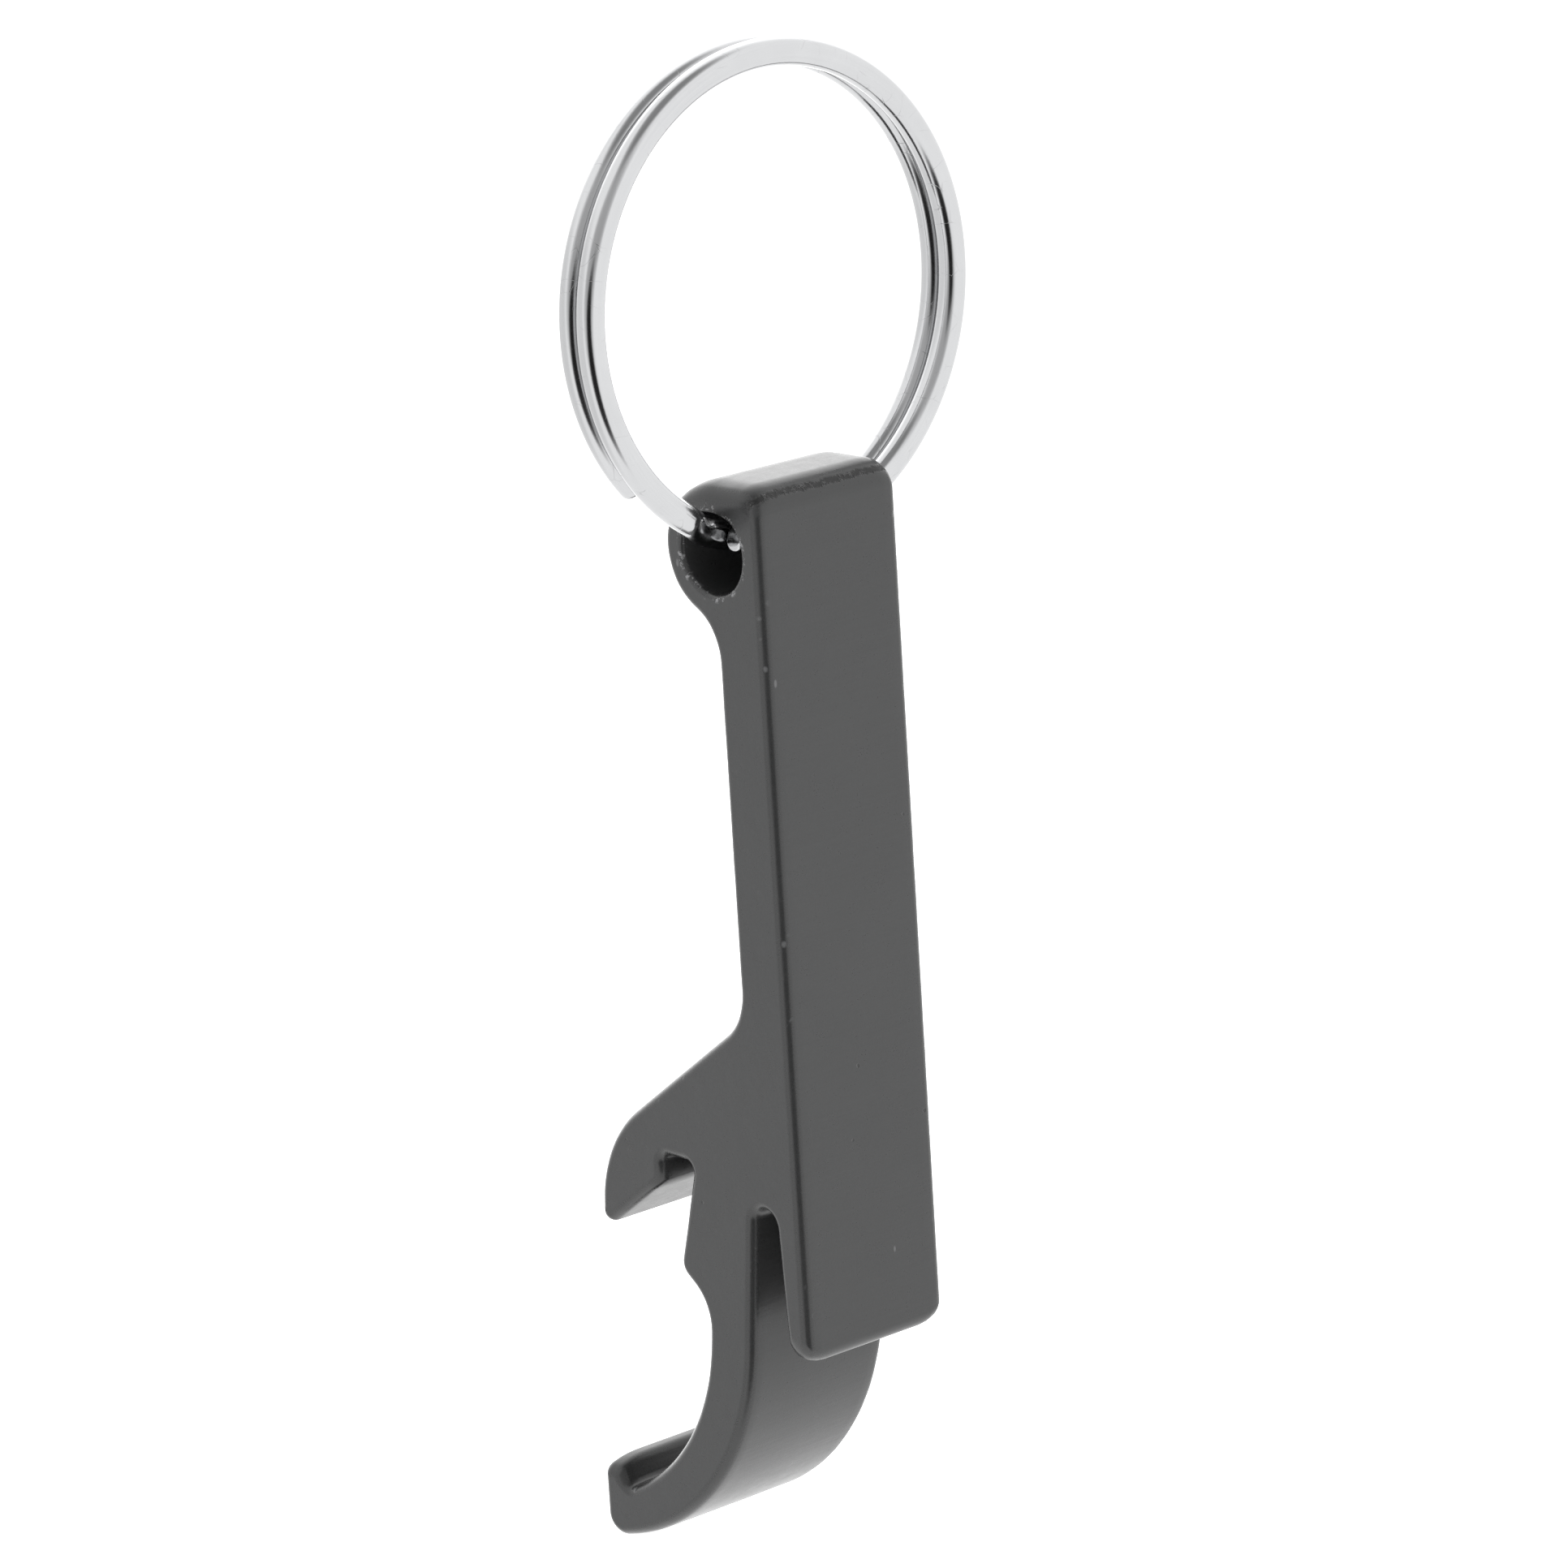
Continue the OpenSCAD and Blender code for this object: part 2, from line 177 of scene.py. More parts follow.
class RingSizes(bpy.types.PropertyGroup):
    """Sizes of the two-turn split ring"""

    diameter: FloatProperty(
        name="Diameter",
        description="Outside diameter of the ring",
        default=RING_HIGH.z - RING_LOW.z,
        min=0.01,
        unit="LENGTH",
        subtype="DISTANCE",
    )
    wire_radial: FloatProperty(
        name="Wire, inside to outside",
        description="Wire size from the inside to the outside of the ring",
        default=1.45 * MM,
        min=0.0005,
        unit="LENGTH",
        subtype="DISTANCE",
    )
    wire_axial: FloatProperty(
        name="Wire, front to back",
        description="Wire size along the ring's axis, one turn",
        default=1.2 * MM,
        min=0.0005,
        unit="LENGTH",
        subtype="DISTANCE",
    )
    wire_corner: FloatProperty(
        name="Wire corner",
        description="Rounding of the wire's four corners",
        default=0.585 * MM,
        min=0.0001,
        unit="LENGTH",
        subtype="DISTANCE",
    )
    first_end: FloatProperty(
        name="Front end",
        description="Where the front turn starts, measured round from the bottom",
        default=math.radians(-18.0),
        subtype="ANGLE",
    )
    change_over: FloatProperty(
        name="Change-over",
        description="Where the wire crosses from the front turn to the rear turn",
        default=math.radians(333.0),
        subtype="ANGLE",
    )
    change_length: FloatProperty(
        name="Change-over length",
        description="How much of the ring the crossing takes",
        default=math.radians(14.0),
        subtype="ANGLE",
    )
    end_rounding: FloatProperty(
        name="End rounding",
        description="Rounding of the wire's two cut ends",
        default=0.22 * MM,
        min=0.00002,
        unit="LENGTH",
        subtype="DISTANCE",
    )
    last_end: FloatProperty(
        name="Rear end",
        description="Where the rear turn stops",
        default=math.radians(673.0),
        subtype="ANGLE",
    )


class FinishColours(bpy.types.PropertyGroup):
    """Colours and glosses of the two metals"""

    anodised: FloatVectorProperty(
        name="Anodised colour",
        description="Colour of the dark anodised film",
        default=(0.0252, 0.0255, 0.0258),
        subtype="COLOR",
        size=3,
        min=0.0,
        max=1.0,
    )
    bare: FloatVectorProperty(
        name="Bare metal",
        description="Aluminium where the anodising is knocked off",
        default=(0.42, 0.42, 0.43),
        subtype="COLOR",
        size=3,
        min=0.0,
        max=1.0,
    )
    body_roughness: FloatProperty(
        name="Body roughness",
        description="Roughness of the satin body",
        default=0.30,
        min=0.02,
        max=1.0,
        subtype="FACTOR",
    )
    steel: FloatVectorProperty(
        name="Ring colour",
        description="Reflected colour of the plated steel ring",
        default=(0.485, 0.488, 0.495),
        subtype="COLOR",
        size=3,
        min=0.0,
        max=1.0,
    )
    steel_roughness: FloatProperty(
        name="Ring roughness",
        description="Roughness of the polished ring",
        default=0.155,
        min=0.02,
        max=1.0,
        subtype="FACTOR",
    )


class StageSettings(bpy.types.PropertyGroup):
    """Camera, light and floor"""

    azimuth: FloatProperty(
        name="Azimuth",
        description="Where the camera stands, round from the body's near side",
        default=math.radians(48.3),
        subtype="ANGLE",
    )
    elevation: FloatProperty(
        name="Elevation",
        description="Height of the camera above the horizon",
        default=math.radians(14.42),
        subtype="ANGLE",
    )
    roll: FloatProperty(
        name="Roll",
        description="Turn of the camera about its own line of sight",
        default=math.radians(-3.55),
        subtype="ANGLE",
    )
    distance: FloatProperty(
        name="Distance",
        description="From the camera to the point it looks at",
        default=0.3516,
        unit="LENGTH",
        subtype="DISTANCE",
    )
    target: FloatVectorProperty(
        name="Target",
        description="Point the camera looks at",
        default=(0.00186, -0.0025, -0.02355),
        size=3,
        unit="LENGTH",
        subtype="XYZ",
    )
    lens: FloatProperty(
        name="Lens",
        description="Focal length on a 36 mm sensor",
        default=166.3,
        min=20.0,
    )
    light: FloatProperty(
        name="Tent light",
        description="Brightness of the white tent round the object",
        default=1.6,
        min=0.0,
    )
    floor_reach: FloatProperty(
        name="Floor reach",
        description="Radius of the floor",
        default=4.0,
        min=1.0,
        unit="LENGTH",
        subtype="DISTANCE",
    )


# Shader maths


class Sock:
    """An output socket; Python arithmetic on it adds Math nodes."""

    def __init__(self, finish, out):
        self.finish = finish
        self.out = out

    def _math(self, operation, a, b=None):
        return self.finish.node("ShaderNodeMath", {"operation": operation}, {0: a, 1: b})

    def __add__(self, other):
        return self._math("ADD", self, other)

    def __radd__(self, other):
        return self._math("ADD", other, self)

    def __sub__(self, other):
        return self._math("SUBTRACT", self, other)

    def __rsub__(self, other):
        return self._math("SUBTRACT", other, self)

    def __mul__(self, other):
        return self._math("MULTIPLY", self, other)

    def __rmul__(self, other):
        return self._math("MULTIPLY", other, self)

    def __truediv__(self, other):
        return self._math("DIVIDE", self, other)

    def __rtruediv__(self, other):
        return self._math("DIVIDE", other, self)

    def __abs__(self):
        return self._math("ABSOLUTE", self)

    def __pow__(self, other):
        return self._math("POWER", self, other)

    def least(self, other):
        return self._math("MINIMUM", self, other)

    def most(self, other):
        return self._math("MAXIMUM", self, other)

    def fade(self, low, high):
        """0 below low and 1 above high, smooth between; low above high turns it round."""
        settings = {"interpolation_type": "SMOOTHSTEP", "clamp": True}
        if low < high:
            return self.finish.node("ShaderNodeMapRange", settings, {0: self, 1: low, 2: high})
        return 1.0 - self.finish.node("ShaderNodeMapRange", settings, {0: self, 1: high, 2: low})


class Finish:
    """The node tree of a material or of the world, and ways to fill it."""

    def __init__(self, owner):
        owner.use_nodes = True
        self.owner = owner
        self.tree = owner.node_tree
        self.tree.nodes.clear()

    def node(self, kind, settings=None, values=None, output=0):
        """Adds a node, sets its settings and then its inputs, and gives one of its outputs."""
        made = self.tree.nodes.new(kind)
        for name, value in (settings or {}).items():
            setattr(made, name, value)
        for name, value in (values or {}).items():
            if value is None:
                continue
            if isinstance(value, Sock):
                self.tree.links.new(value.out, made.inputs[name])
            else:
                made.inputs[name].default_value = value
        return Sock(self, made.outputs[output]) if made.outputs else None

    def place(self, scale=(1.0, 1.0, 1.0), turn=(0.0, 0.0, 0.0), shift=(0.0, 0.0, 0.0)):
        """Object coordinates in millimetres, then scaled, turned and shifted."""
        raw = self.node("ShaderNodeTexCoord", output="Object")
        size = tuple(s / MM for s in scale)
        values = {"Vector": raw, "Location": shift, "Rotation": turn, "Scale": size}
        return self.node("ShaderNodeMapping", None, values)

    def split(self, where):
        """The three parts of a place."""
        return [self.node("ShaderNodeSeparateXYZ", None, {0: where}, part) for part in "XYZ"]

    def speckle(self, where, scale, detail=2.0, rough=0.5):
        """Smooth noise from 0 to 1 round 0.5."""
        values = {"Vector": where, "Scale": scale, "Detail": detail, "Roughness": rough}
        return self.node("ShaderNodeTexNoise", {"noise_dimensions": "3D"}, values)

    def cells(self, where, scale, feature="F1"):
        """Distance to the nearest of many scattered points, or to the border between two of them."""
        values = {"Vector": where, "Scale": scale}
        return self.node("ShaderNodeTexVoronoi", {"feature": feature}, values, "Distance")

    def mix(self, share, a, b):
        """Colour a at share 0 and colour b at share 1."""
        pair = [c if isinstance(c, Sock) else (*c, 1.0) for c in (a, b)]
        return self.node("ShaderNodeMix", {"data_type": "RGBA"}, {0: share, 6: pair[0], 7: pair[1]}, 2)

    def shade(self, colour, amount):
        """Colour times a number."""
        return self.node("ShaderNodeVectorMath", {"operation": "SCALE"}, {0: colour, "Scale": amount})

    def surface(self, colour, roughness, relief, metallic, **fixed):
        """The finished surface: relief is a height in millimetres, fixed are numbers for other sockets."""
        bump = self.node("ShaderNodeBump", None, {"Strength": 1.0, "Distance": MM, "Height": relief})
        values = {"Base Color": colour, "Roughness": roughness, "Normal": bump, "Metallic": metallic}
        values.update({name.replace("_", " "): value for name, value in fixed.items()})
        surface = self.node("ShaderNodeBsdfPrincipled", None, values)
        self.node("ShaderNodeOutputMaterial", None, {"Surface": surface})
        return self.owner


def new_finish(name):
    return Finish(bpy.data.materials.new(name))


def anodised_finish(colours):
    """Tumbled aluminium, anodised dark: satin grain, die lines across the width, knocked edges."""
    f = new_finish("tumbled_anodised")
    here = f.place()
    x, across, z = f.split(here)
    edge = f.node("ShaderNodeAttribute", {"attribute_name": "tumbled"}, None, "Fac")

    cloud = f.speckle(here, 0.22, 3.0, 0.55)
    patch = f.speckle(here, 1.3, 2.0, 0.5)
    grain = f.speckle(here, 7.0, 3.0, 0.65)
    die_lines = f.speckle(f.place((6.0, 0.10, 6.0)), 1.0, 4.0, 0.7)
    ripple = f.speckle(f.place((0.9, 0.25, 0.9)), 1.0, 2.0, 0.5)

    # small knocks, thickest on the tumbled edges and round the bore
    knock_cell = f.cells(f.place(shift=(3.1, 7.7, 1.9)), 1.15)
    knock_pick = f.speckle(f.place(shift=(11.0, 4.0, 2.0)), 0.55, 2.0, 0.6)
    knock = knock_cell.fade(0.26, 0.10) * knock_pick.fade(0.52, 0.60) * edge
    side = BODY_HIGH.y / MM
    bore_away = (x ** 2.0 + (z - BORE.z / MM) ** 2.0) ** 0.5
    rim = bore_away.fade(2.52, 2.36) * bore_away.fade(2.08, 2.16)
    rim = rim * abs(across).fade(side - 0.45, side - 0.25)
    burr = rim * f.speckle(here, 2.4, 4.0, 0.75).fade(0.53, 0.62)

    # tiny pits and pale specks on the flat faces
    pit = f.cells(f.place(shift=(5.0, 1.0, 8.0)), 0.62).fade(0.085, 0.05)
    pit = pit * f.speckle(here, 0.9, 1.0, 0.5).fade(0.63, 0.67)
    fleck = f.cells(f.place((1.0, 1.0, 0.45), shift=(2.0, 9.0, 4.0)), 0.45).fade(0.05, 0.03)

    # the worn line across the rounded top corner of the front
    corner_x, corner_z = OUTLINE["top corner"][0], OUTLINE["top corner"][1] + BORE.z / MM
    wander = f.speckle(f.place((0.2, 1.0, 0.2)), 1.1, 4.0, 0.7)
    off_line = (x - corner_x) - (z - corner_z) + (wander - 0.5) * 0.75 - 0.12
    near_corner = ((x - corner_x) + (z - corner_z)).fade(1.1, 1.6)
    broken = f.speckle(here, 2.2, 3.0, 0.7).fade(0.30, 0.46)
    scar = abs(off_line).fade(0.34, 0.12) * near_corner * broken

    tone = 0.86 + cloud * 0.16 + patch * 0.08 + (die_lines - 0.5) * 0.16 + (grain - 0.5) * 0.14
    # painted shade: the tumbled rounding of the edges is coloured up to a tenth darker, as if shaded; the
    # pits and the worn line are real marks
    tone = tone * (1.0 - edge * 0.10) * (1.0 - pit * 0.45) * (1.0 - scar * 0.85)
    colour = f.shade(tuple(colours.anodised), tone)
    chipped = (knock * 0.22 + burr * 0.45 + fleck * 0.16).least(1.0)
    colour = f.mix(chipped, colour, tuple(colours.bare))

    roughness = colours.body_roughness + (grain - 0.5) * 0.12 + (patch - 0.5) * 0.08
    roughness = (roughness - edge * 0.07 + scar * 0.2 + burr * 0.15).most(0.12)

    relief = (grain - 0.5) * (1.0 - edge * 0.8) * 0.0035
    relief = relief + (die_lines - 0.5) * 0.0050 + (ripple - 0.5) * 0.012
    relief = relief - knock * 0.022 - burr * 0.03 - pit * 0.02 - scar * 0.045
    metallic = (chipped * 1.4).least(1.0)
    return f.surface(colour, roughness, relief, metallic, IOR=1.46)


def plated_finish(colours):
    """Bright nickel plate on drawn wire: lines along the wire, faint haze and hairline scratches."""
    f = new_finish("bright_plated_steel")
    here = f.place()
    x, y, z = f.split(here)
    out = (y ** 2.0 + z ** 2.0) ** 0.5
    along_wire = f.node("ShaderNodeCombineXYZ", None, {0: x * 9.0, 1: out * 9.0, 2: y / out * 1.6})
    drawn = f.node(
        "ShaderNodeTexNoise",
        {"noise_dimensions": "4D"},
        {"Vector": along_wire, "W": z / out * 1.6, "Scale": 1.0, "Detail": 3.0, "Roughness": 0.6},
    )
    haze = f.speckle(here, 0.35, 3.0, 0.6)
    grain = f.speckle(here, 9.0, 2.0, 0.6)
    hair_away = f.cells(f.place((0.5, 1.0, 1.0), (0.4, 0.2, 0.9)), 0.9, "DISTANCE_TO_EDGE")
    hair = hair_away.fade(0.018, 0.004) * f.speckle(here, 0.8, 2.0, 0.5).fade(0.50, 0.62)

    tone = 0.94 + (haze - 0.5) * 0.10 + (drawn - 0.5) * 0.08 - hair * 0.10
    colour = f.shade(tuple(colours.steel), tone)
    roughness = colours.steel_roughness + (haze - 0.5) * 0.05 + (drawn - 0.5) * 0.05 + hair * 0.15
    roughness = roughness.most(0.04)
    relief = (drawn - 0.5) * 0.0022 + (grain - 0.5) * 0.0006 + (haze - 0.5) * 0.006 - hair * 0.002
    return f.surface(colour, roughness, relief, 1.0)


# Modelling


def left_of(heading):
    """The direction to the left of a heading, seen from the near side."""
    return Vector((-math.sin(heading), 0.0, math.cos(heading)))


def belt_headings(pins):
    """Heading of each straight leg of the belt, from a pin to the next."""
    headings = []
    for (ax, az, ar, at), (bx, bz, br, bt) in zip(pins, pins[1:] + pins[:1]):
        span = math.hypot(bx - ax, bz - az)
        lean = math.asin(max(-1.0, min(1.0, (bt * br - at * ar) / span)))
        headings.append(math.atan2(bz - az, bx - ax) - lean)
    return headings


def push(bm, tip, goal):
    """Draws a straight run of short edges from a vertex to a point."""
    run = goal - tip.co
    legs = max(1, round(run.length / (1.1 * MM))) if run.length > 0.002 * MM else 0
    for _ in range(legs):
        tip = bmesh.ops.extrude_vert_indiv(bm, verts=[tip])["verts"][0]
        tip.co += run / legs
    return tip


def run_belt(bm, pins, y, rest_on):
    """Draws the outline as a closed chain: a point is pushed along each leg and spun round each pin."""
    headings = belt_headings(pins)
    tip = None
    for i, (px, pz, radius, turn) in enumerate(pins):
        arrive, leave = headings[i - 1], headings[i]
        middle = Vector((px * MM, y, pz * MM)) + rest_on
        start = middle - left_of(arrive) * (turn * radius * MM)
        swing = (leave - arrive) * turn % math.tau
        if swing > math.tau - 0.01:
            swing = 0.0
        if tip is None:
            tip = first = bm.verts.new(start)
        tip = push(bm, tip, start)
        if radius and swing > 0.001:
            fine = 2.0 * math.acos(1.0 - SAG / radius)
            spun = bmesh.ops.spin(
                bm,
                geom=[tip],
                cent=middle,
                axis=(0.0, -turn, 0.0),
                dvec=(0.0, 0.0, 0.0),
                angle=swing,
                steps=max(3, math.ceil(swing / fine)),
                use_merge=False,
                use_normal_flip=False,
                use_duplicate=False,
            )
            tip = [g for g in spun["geom_last"] if isinstance(g, bmesh.types.BMVert)][0]
    push(bm, tip, first.co)
    bmesh.ops.remove_doubles(bm, verts=bm.verts[:], dist=0.003 * MM)


def loop_order(verts):
    """The vertices of one closed chain, in order."""
    chain, last = [verts[0]], None
    while True:
        steps = [e for e in chain[-1].link_edges if e is not last]
        last = steps[0]
        following = last.other_vert(chain[-1])
        if following is chain[0]:
            return chain
        chain.append(following)


def turned_left(chain):
    """The chain run so that it turns left, seen from the near side."""
    doubled = sum(a.co.x * b.co.z - b.co.x * a.co.z for a, b in zip(chain, chain[1:] + chain[:1]))
    return chain if doubled > 0 else chain[::-1]


def stretch(chain, a, b):
    """The part of a closed chain from vertex a on to vertex b, both included."""
    i = chain.index(a)
    rolled = chain[i:] + chain[:i]
    return rolled[: rolled.index(b) + 1]


def tumble(bm, edges, size, segments=5):
    return bmesh.ops.bevel(
        bm,
        geom=edges,
        offset=size,
        offset_type="OFFSET",
        segments=segments,
        profile=0.5,
        affect="EDGES",
        clamp_overlap=False,
        loop_slide=True,
        material=-1,
    )


def finish_mesh(bm, name, material):
    bmesh.ops.recalc_face_normals(bm, faces=bm.faces[:])
    mesh = bpy.data.meshes.new(name)
    bm.to_mesh(mesh)
    bm.free()
    mesh.shade_smooth()
    mesh.materials.append(material)
    made = bpy.data.objects.new(name, mesh)
    bpy.context.scene.collection.objects.link(made)
    return made


class OPENER_OT_body(bpy.types.Operator):
    """Build the extruded opener body with its bore, tumbled edges and anodised finish"""

    bl_idname = "opener.body"
    bl_label = "Opener body"

    def execute(self, context):
        sizes = context.scene.opener_body
        near = -sizes.width / 2
        bm = bmesh.new()
        run_belt(bm, list(OUTLINE.values()), near, BORE)
        rim = turned_left(loop_order(bm.verts[:]))

        # the side is two faces that meet on two short cuts, so that the bore can pass between them
        to_side = Matrix.Translation(BORE + Vector((0.0, near, 0.0))) @ Matrix.Rotation(math.pi / 2, 4, "X")
        round_bore = bmesh.ops.create_circle(
            bm, cap_ends=False, radius=sizes.bore / 2, segments=72, matrix=to_side
        )
        hole = turned_left(loop_order(round_bore["verts"]))
        cuts = []
        for way in (Vector((1.0, 0.0, 1.0)), Vector((-1.0, 0.0, 0.0))):
            aim = BORE + Vector((0.0, near, 0.0)) + way.normalized() * CUT_REACH
            outer = min(rim, key=lambda v: (v.co - aim).length)
            inner = min(hole, key=lambda v: (v.co - outer.co).length)
            cuts.append((outer, inner))
        (front_out, front_in), (back_out, back_in) = cuts
        bm.faces.new(stretch(rim, front_out, back_out) + stretch(hole, front_in, back_in)[::-1])
        bm.faces.new(stretch(rim, back_out, front_out) + stretch(hole, back_in, front_in)[::-1])

        drawn = bmesh.ops.extrude_face_region(bm, geom=bm.faces[:])
        moved = [g for g in drawn["geom"] if isinstance(g, bmesh.types.BMVert)]
        bmesh.ops.translate(bm, verts=moved, vec=(0.0, sizes.width, 0.0))
        bmesh.ops.recalc_face_normals(bm, faces=bm.faces[:])

        tumble(bm, self.side_edges(bm, sizes, at_bore=False), sizes.tumbling)
        tumble(bm, self.side_edges(bm, sizes, at_bore=True), sizes.bore_rounding, 4)

        # rings of points across the width, so that the tumbled metal can wander a little
        walls = [e for e in bm.edges if abs(e.verts[0].co.y - e.verts[1].co.y) > sizes.width / 2]
        bmesh.ops.subdivide_edges(bm, edges=walls, cuts=17, use_grid_fill=False)
        self.wander(bm, sizes)
        self.wear_corners(bm, sizes)

        body = finish_mesh(bm, "opener_body_tumbled", anodised_finish(context.scene.opener_finish))
        weigh = body.modifiers.new("even_shading", "WEIGHTED_NORMAL")
        weigh.mode = "FACE_AREA"
        weigh.weight = 80
        weigh.keep_sharp = False
        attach(body, "opener")
        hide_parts("opener_body")
        return {"FINISHED"}

    def side_edges(self, bm, sizes, at_bore):
        """The edges between a side face and a wall: those round the bore, or all the others."""
        found = []
        for e in bm.edges:
            level = abs(e.verts[0].co.y - e.verts[1].co.y) < 1e-7
            if not level or len({round(f.normal.y) for f in e.link_faces}) != 2:
                continue
            away = [math.hypot(v.co.x - BORE.x, v.co.z - BORE.z) for v in e.verts]
            if all(abs(a - sizes.bore / 2) < 1e-6 for a in away) == at_bore:
                found.append(e)
        return found

    def wander(self, bm, sizes):
        """Marks how tumbled each point is, and lets the tumbled metal wander inwards."""
        bmesh.ops.recalc_face_normals(bm, faces=bm.faces[:])
        bm.normal_update()
        tumbled = bm.verts.layers.float.new("tumbled")
        shifts = []
        for v in bm.verts:
            lean = v.normal.y ** 2
            v[tumbled] = max(0.0, min(1.0, 4.0 * lean * (1.0 - lean)))
            rough = noise.noise(v.co * 900.0) + 0.5 * noise.noise(v.co * 2300.0)
            shifts.append((v, v.normal * (-sizes.waviness * v[tumbled] * (0.5 + 0.5 * rough))))
        for v, shift in shifts:
            v.co += shift

    def wear_corners(self, bm, sizes):
        """Draws the side corners of the three free ends in, most at the very sides."""
        for end in WORN_ENDS.values():
            for v in bm.verts:
                across, up = (v.co.x - BORE.x) / MM, (v.co.z - BORE.z) / MM
                along = (up - end["from"]) / (end["to"] - end["from"])
                beside = 1.0 - (sizes.width / 2 - abs(v.co.y)) / (end["round"] * MM)
                if end["back"] < across < end["front"] and 0.0 < along < 2.0 and beside > 0.0:
                    depth = sizes.corner_wear * end["share"] * min(1.0, along)
                    drop = depth * (1.0 - math.sqrt(1.0 - min(beside, 1.0) ** 2))
                    v.co.z += math.copysign(drop, end["from"] - end["to"])


class OPENER_OT_ring(bpy.types.Operator):
    """Build the two-turn split ring by sweeping its wire round, across and round again"""

    bl_idname = "opener.split_ring"
    bl_label = "Split ring"

    def execute(self, context):
        sizes = context.scene.opener_ring
        bm = bmesh.new()
        blank = bmesh.ops.create_grid(bm, x_segments=1, y_segments=1, size=0.5)
        bmesh.ops.scale(bm, verts=blank["verts"], vec=(sizes.wire_axial, sizes.wire_radial, 1.0))
        bmesh.ops.bevel(
            bm,
            geom=blank["verts"],
            offset=sizes.wire_corner,
            offset_type="OFFSET",
            segments=8,
            profile=0.5,
            affect="VERTICES",
            clamp_overlap=False,
            material=-1,
        )
        # stand the section at the front end of the ring
        mean = (sizes.diameter - sizes.wire_radial) / 2
        turn_at = RING_HIGH.x - sizes.wire_axial / 2
        stand = Matrix.Rotation(sizes.first_end, 4, "X") @ Matrix.Translation((turn_at, 0.0, -mean))
        upright = stand @ Matrix(((1, 0, 0, 0), (0, 0, 1, 0), (0, 1, 0, 0), (0, 0, 0, 1)))
        bmesh.ops.transform(bm, verts=bm.verts[:], matrix=upright)

        def sweep(geom, angle, steps, shift=0.0):
            spun = bmesh.ops.spin(
                bm,
                geom=geom,
                cent=(0.0, 0.0, 0.0),
                axis=(1.0, 0.0, 0.0),
                dvec=(shift, 0.0, 0.0),
                angle=angle,
                steps=steps,
                use_merge=False,
                use_normal_flip=False,
                use_duplicate=False,
            )
            return spun["geom_last"]

        geom = bm.verts[:] + bm.edges[:] + bm.faces[:]
        start = sizes.change_over - sizes.change_length / 2
        turn_steps = 170
        geom = sweep(geom, start - sizes.first_end, turn_steps)
        steps = 24
        reach = 2 * turn_at
        before = 0.0
        for i in range(1, steps + 1):
            share = i / steps
            now = share * share * (3.0 - 2.0 * share)
            geom = sweep(geom, sizes.change_length / steps, 1, -reach * (now - before))
            before = now
        geom = sweep(geom, sizes.last_end - start - sizes.change_length, turn_steps)

        caps = [f for f in bm.faces if len(f.verts) > 4]
        cut_edges = [e for f in caps for e in f.edges]
        bmesh.ops.bevel(
            bm,
            geom=cut_edges,
            offset=sizes.end_rounding,
            offset_type="OFFSET",
            segments=3,
            profile=0.5,
            affect="EDGES",
            clamp_overlap=True,
            material=-1,
        )
        ring = finish_mesh(bm, "split_ring_polished", plated_finish(context.scene.opener_finish))
        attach(ring, "ring")
        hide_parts("split_ring")
        return {"FINISHED"}


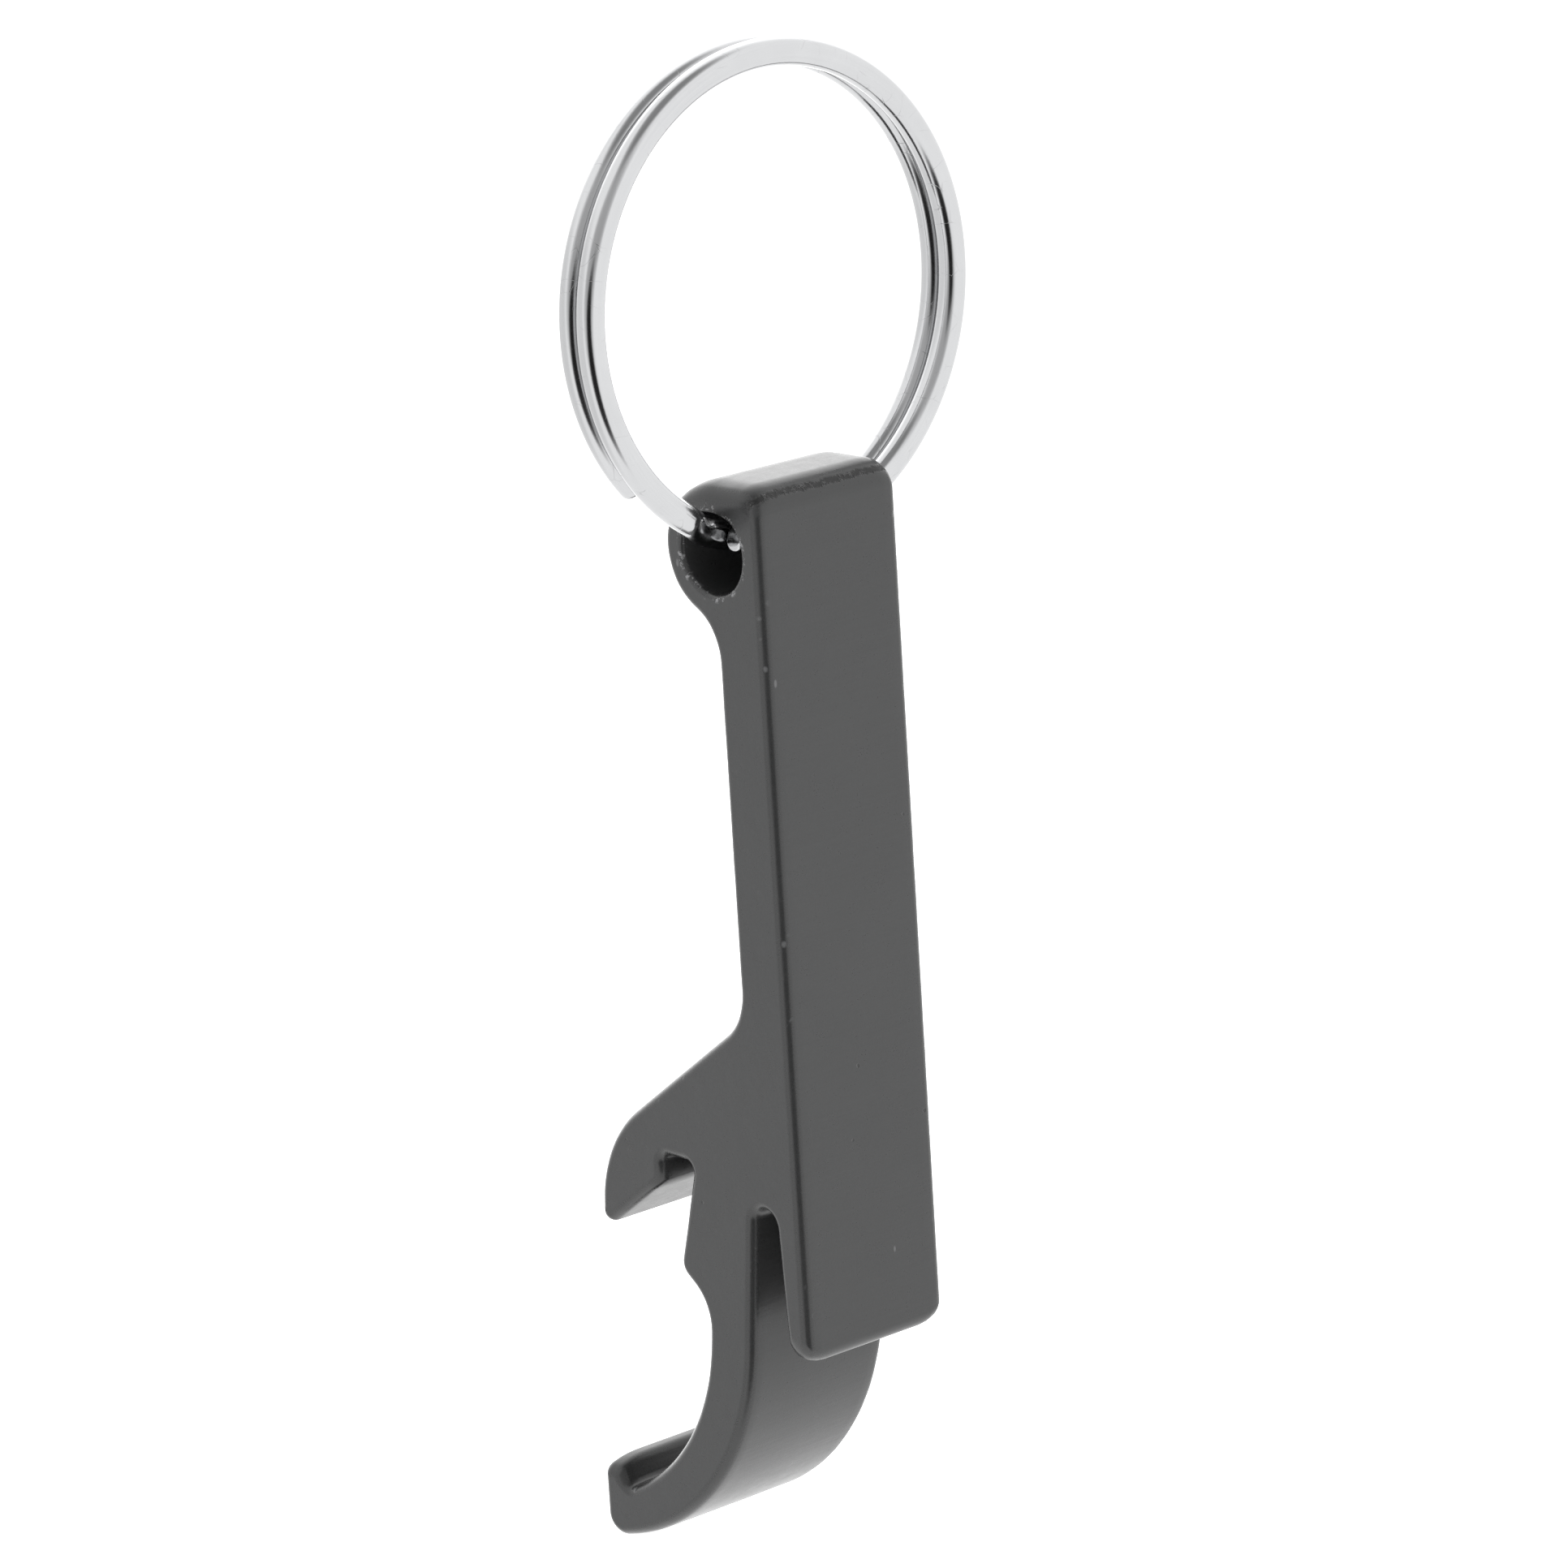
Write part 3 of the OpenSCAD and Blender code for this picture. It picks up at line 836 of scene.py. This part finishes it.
class OPENER_OT_stage(bpy.types.Operator):
    """Set the pale floor, the white light tent and the camera"""

    bl_idname = "opener.stage"
    bl_label = "Stage"

    def execute(self, context):
        settings = context.scene.opener_stage
        self.floor(settings)
        self.tent(context, settings)
        self.camera(context, settings)
        return {"FINISHED"}

    def floor(self, settings):
        f = new_finish("pale_paper")
        fibre = f.speckle(f.place(), 0.6, 3.0, 0.6)
        colour = f.mix(fibre, (0.90, 0.90, 0.90), (0.93, 0.93, 0.93))
        paper = {"Base Color": colour, "Roughness": 0.9, "Specular IOR Level": 0.1}
        paper.update({"Emission Color": (1.0, 1.0, 1.0, 1.0), "Emission Strength": 0.9})
        surface = f.node("ShaderNodeBsdfPrincipled", None, paper)
        f.node("ShaderNodeOutputMaterial", None, {"Surface": surface})
        bm = bmesh.new()
        level = Matrix.Translation((0.0, 0.0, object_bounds()[0].z))
        bmesh.ops.create_circle(bm, cap_ends=True, radius=settings.floor_reach, segments=96, matrix=level)
        floor = finish_mesh(bm, "floor", f.owner)
        floor.visible_glossy = False
        floor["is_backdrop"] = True

    def tent(self, context, settings):
        """White light all round, brighter behind, with a dark gap where the tent opens to the camera."""
        context.scene.world = bpy.data.worlds.new("white_tent")
        f = Finish(context.scene.world)
        way = f.node("ShaderNodeTexCoord", output="Generated")
        unit = f.node("ShaderNodeVectorMath", {"operation": "NORMALIZE"}, {0: way})

        def toward(azimuth, elevation):
            a, e = math.radians(azimuth), math.radians(elevation)
            aim = (math.sin(a) * math.cos(e), -math.cos(a) * math.cos(e), math.sin(e))
            values = {0: unit, 1: aim}
            return f.node("ShaderNodeVectorMath", {"operation": "DOT_PRODUCT"}, values, "Value")

        def spot(azimuth, elevation, full, none):
            """1 within the angle full of a direction and 0 beyond the angle none, in degrees."""
            low, high = math.cos(math.radians(none)), math.cos(math.radians(full))
            return toward(azimuth, elevation).fade(low, high)

        gap = spot(50.0, -24.0, 14.0, 30.0).most(spot(50.0, -8.0, 10.0, 26.0))
        dim = spot(48.0, 14.0, 20.0, 55.0)
        back = spot(228.0, 16.0, 15.0, 60.0)
        over = spot(80.0, 72.0, 14.0, 38.0)
        side = spot(312.0, -14.0, 25.0, 50.0)
        shadow = (1.0 - dim * 0.55) * (1.0 - gap * 0.97) * (1.0 - over * 0.72) * (1.0 - side * 0.2)
        light = settings.light * shadow + back * 1.0
        surface = f.node("ShaderNodeBackground", None, {"Color": (1.0, 1.0, 1.0, 1.0), "Strength": light})
        f.node("ShaderNodeOutputWorld", None, {"Surface": surface})

    def camera(self, context, settings):
        a, e = settings.azimuth, settings.elevation
        back = Vector((math.sin(a) * math.cos(e), -math.cos(a) * math.cos(e), math.sin(e)))
        data = bpy.data.cameras.new("camera")
        data.sensor_width = 36.0
        data.lens = settings.lens
        data.clip_start = 0.01
        data.clip_end = 20.0
        camera = bpy.data.objects.new("camera", data)
        face = (-back).to_track_quat("-Z", "Y").to_matrix().to_4x4()
        stand = Matrix.Translation(Vector(settings.target) + back * settings.distance)
        camera.matrix_world = stand @ face @ Matrix.Rotation(settings.roll, 4, "Z")
        context.scene.collection.objects.link(camera)
        context.scene.camera = camera
        context.scene.view_settings.view_transform = "Standard"


class OPENER_PT_panel(bpy.types.Panel):
    """Sizes, finishes and pieces of the opener"""

    bl_label = "Keychain opener"
    bl_idname = "OPENER_PT_panel"
    bl_space_type = "VIEW_3D"
    bl_region_type = "UI"
    bl_category = "Opener"

    def draw(self, context):
        scene = context.scene
        for title, group, operator in (
            ("Body", scene.opener_body, "opener.body"),
            ("Split ring", scene.opener_ring, "opener.split_ring"),
            ("Finish", scene.opener_finish, None),
            ("Stage", scene.opener_stage, "opener.stage"),
        ):
            box = self.layout.box()
            box.label(text=title)
            for name in group.__annotations__:
                box.prop(group, name)
            if operator:
                box.operator(operator)


CLASSES = (
    BodySizes,
    RingSizes,
    FinishColours,
    StageSettings,
    OPENER_OT_body,
    OPENER_OT_ring,
    OPENER_OT_stage,
    OPENER_PT_panel,
)
GROUPS = {
    "opener_body": BodySizes,
    "opener_ring": RingSizes,
    "opener_finish": FinishColours,
    "opener_stage": StageSettings,
}


def register():
    for cls in CLASSES:
        bpy.utils.register_class(cls)
    for name, group in GROUPS.items():
        setattr(bpy.types.Scene, name, PointerProperty(type=group))


def unregister():
    for name in GROUPS:
        delattr(bpy.types.Scene, name)
    for cls in reversed(CLASSES):
        bpy.utils.unregister_class(cls)


def main():
    register()
    bpy.ops.opener.body()
    bpy.ops.opener.split_ring()
    bpy.ops.opener.stage()


if __name__ == "__main__":
    main()
